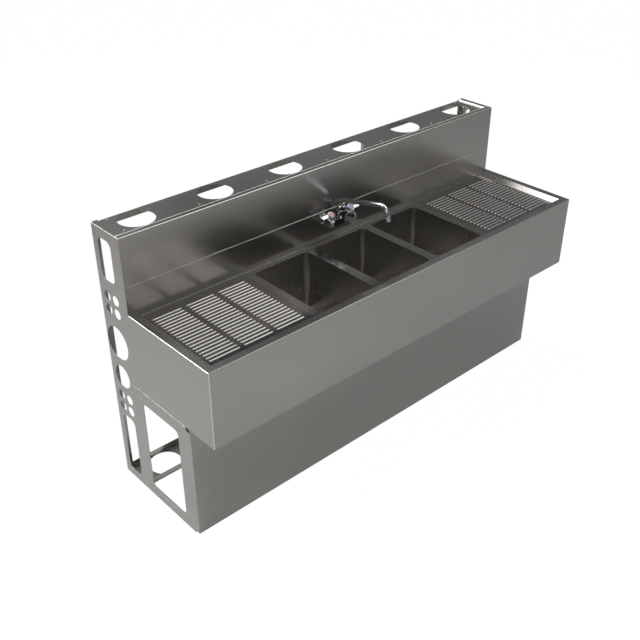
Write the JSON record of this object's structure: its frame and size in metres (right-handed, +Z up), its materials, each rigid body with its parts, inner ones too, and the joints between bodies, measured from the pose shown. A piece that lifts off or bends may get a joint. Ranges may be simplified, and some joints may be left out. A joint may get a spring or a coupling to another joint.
{
  "type": "underbar sink",
  "caption": "Stainless underbar sink: three coved bowls between beaded drainboards, apron and skirt, pipe chase behind the splash, splash-mounted swing faucet.",
  "frame": {"origin": "on the floor, under the middle of the unit's box", "axes": "+X along the sink to the right as seen from the apron, +Y from the apron to the chase, +Z up"},
  "size_m": [1.829, 0.602, 1.041],
  "materials": {
    "stainless_sheet": "brushed stainless sheet, fine grain along each sheet, bent edges polished bright",
    "stainless_fittings": "satin stainless",
    "chrome_plate": "bright chrome plate",
    "brass_parts": "turned brass",
    "black_rubber": "matt rubber",
    "cartridge_plastic": "moulded plastic sleeve",
    "hot_red": "glossy red",
    "cold_blue": "glossy blue"
  },
  "bodies": {
    "sink_frame": {"end_panel_left": "stainless_sheet", "end_panel_right": "stainless_sheet", "chase_cap": "stainless_sheet", "chase_floor": "stainless_sheet", "chase_upright_left": "stainless_sheet", "chase_upright_right": "stainless_sheet", "splash_upper": "stainless_sheet", "splash_lower": "stainless_sheet", "drainboard_left": "stainless_sheet", "drainboard_right": "stainless_sheet", "bowl_deck": "stainless_sheet", "front_apron": "stainless_sheet", "side_apron_left": "stainless_sheet", "side_apron_right": "stainless_sheet", "bowl_left": "stainless_sheet", "bowl_middle": "stainless_sheet", "bowl_right": "stainless_sheet", "deck_channel_left": "stainless_sheet", "deck_channel_right": "stainless_sheet", "skirt_panel": "stainless_sheet", "skirt_brackets": "stainless_sheet", "cap_screws": "stainless_fittings", "drain_flange_left": "stainless_fittings", "tailpiece_left": "chrome_plate", "drain_flange_middle": "stainless_fittings", "tailpiece_middle": "chrome_plate", "drain_flange_right": "stainless_fittings", "tailpiece_right": "chrome_plate", "drain_gaskets": "black_rubber", "drain_locknuts": "brass_parts", "drain_slip_nuts": "brass_parts", "faucet_body": "chrome_plate", "wall_flange_hot": "chrome_plate", "inlet_shank_hot": "brass_parts", "wall_flange_cold": "chrome_plate", "inlet_shank_cold": "brass_parts", "shank_washers": "stainless_fittings", "shank_locknuts": "brass_parts", "bonnet_hot": "chrome_plate", "cartridge_hot": "cartridge_plastic", "bonnet_cold": "chrome_plate", "cartridge_cold": "cartridge_plastic", "spout_nut": "chrome_plate"},
    "spout_arm": {"spout": "chrome_plate", "spout_seal": "black_rubber", "aerator": "chrome_plate"},
    "hot_valve": {"stem_hot": "brass_parts", "lever_hot": "chrome_plate", "lever_screw_hot": "stainless_fittings", "index_hot": "hot_red"},
    "cold_valve": {"stem_cold": "brass_parts", "lever_cold": "chrome_plate", "lever_screw_cold": "stainless_fittings", "index_cold": "cold_blue"},
    "strainer_lift_left": {"strainer_left": "stainless_fittings"},
    "strainer_lift_middle": {"strainer_middle": "stainless_fittings"},
    "strainer_lift_right": {"strainer_right": "stainless_fittings"}
  },
  "joints": [
    {"name": "spout_swivel", "type": "hinge", "parent": "sink_frame", "child": "spout_arm", "pos_m": [0, 0.098, 0.86], "axis": [0, 0, 1], "range_deg": [-90, 90]},
    {"name": "hot_lever_turn", "type": "hinge", "parent": "sink_frame", "child": "hot_valve", "pos_m": [-0.0508, 0.1037, 0.85194], "axis": [0, -0.4226, 0.9063], "range_deg": [0, 90]},
    {"name": "cold_lever_turn", "type": "hinge", "parent": "sink_frame", "child": "cold_valve", "pos_m": [0.0508, 0.1037, 0.85194], "axis": [0, -0.4226, 0.9063], "range_deg": [-90, 0]},
    {"name": "strainer_lift_left_slide", "type": "slide", "parent": "sink_frame", "child": "strainer_lift_left", "axis": [0, 0, 1], "range_m": [0, 0.28]},
    {"name": "strainer_lift_middle_slide", "type": "slide", "parent": "sink_frame", "child": "strainer_lift_middle", "axis": [0, 0, 1], "range_m": [0, 0.28]},
    {"name": "strainer_lift_right_slide", "type": "slide", "parent": "sink_frame", "child": "strainer_lift_right", "axis": [0, 0, 1], "range_m": [0, 0.28]}
  ]
}
